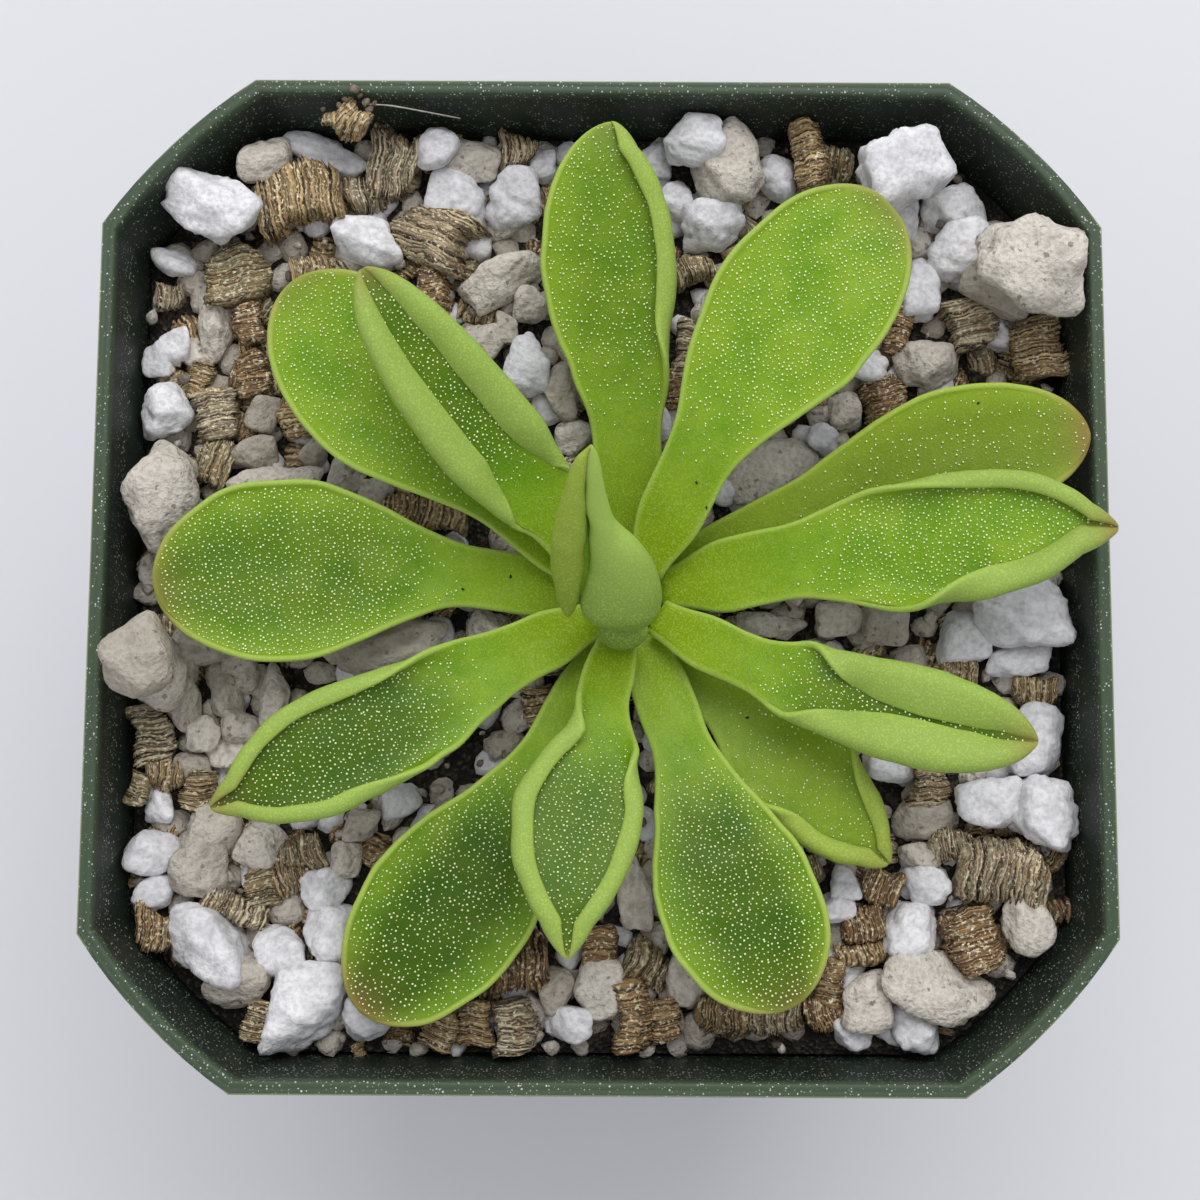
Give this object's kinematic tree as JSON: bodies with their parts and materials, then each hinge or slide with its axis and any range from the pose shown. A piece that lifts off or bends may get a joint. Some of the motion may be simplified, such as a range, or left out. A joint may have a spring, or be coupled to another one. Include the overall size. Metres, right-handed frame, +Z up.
{
  "type": "potted butterwort",
  "caption": "Butterwort rosette with rolled and flat glandular leaves in a square plastic nursery pot filled with mineral mix.",
  "frame": {"origin": "centre of the pot's base, on the surface it stands on", "axes": "+Z up; X and Y along the sides of the square pot"},
  "size_m": [0.0762, 0.0762, 0.0852],
  "materials": {
    "pot_plastic": "satin dark green moulded plastic",
    "mineral_mix": "rough white perlite, cream pumice and brown laminated vermiculite",
    "crown_tissue": "pale yellow-green plant tissue",
    "leaf": "soft green leaf, damp sheen, covered in tiny glistening glands",
    "young_leaf": "pale green rolled leaf with a fine downy sheen"
  },
  "bodies": {
    "root": {"pot": "pot_plastic", "potting_mix": "mineral_mix", "crown": "crown_tissue", "leaf_01": "leaf", "leaf_02": "leaf", "leaf_03": "leaf", "leaf_04": "leaf", "leaf_05": "leaf", "leaf_06": "leaf", "leaf_07": "leaf", "leaf_08": "leaf", "leaf_09": "leaf", "leaf_10": "leaf", "leaf_11": "leaf", "leaf_12": "leaf", "leaf_13": "leaf", "leaf_14": "young_leaf", "leaf_15": "young_leaf"}
  },
  "joints": []
}
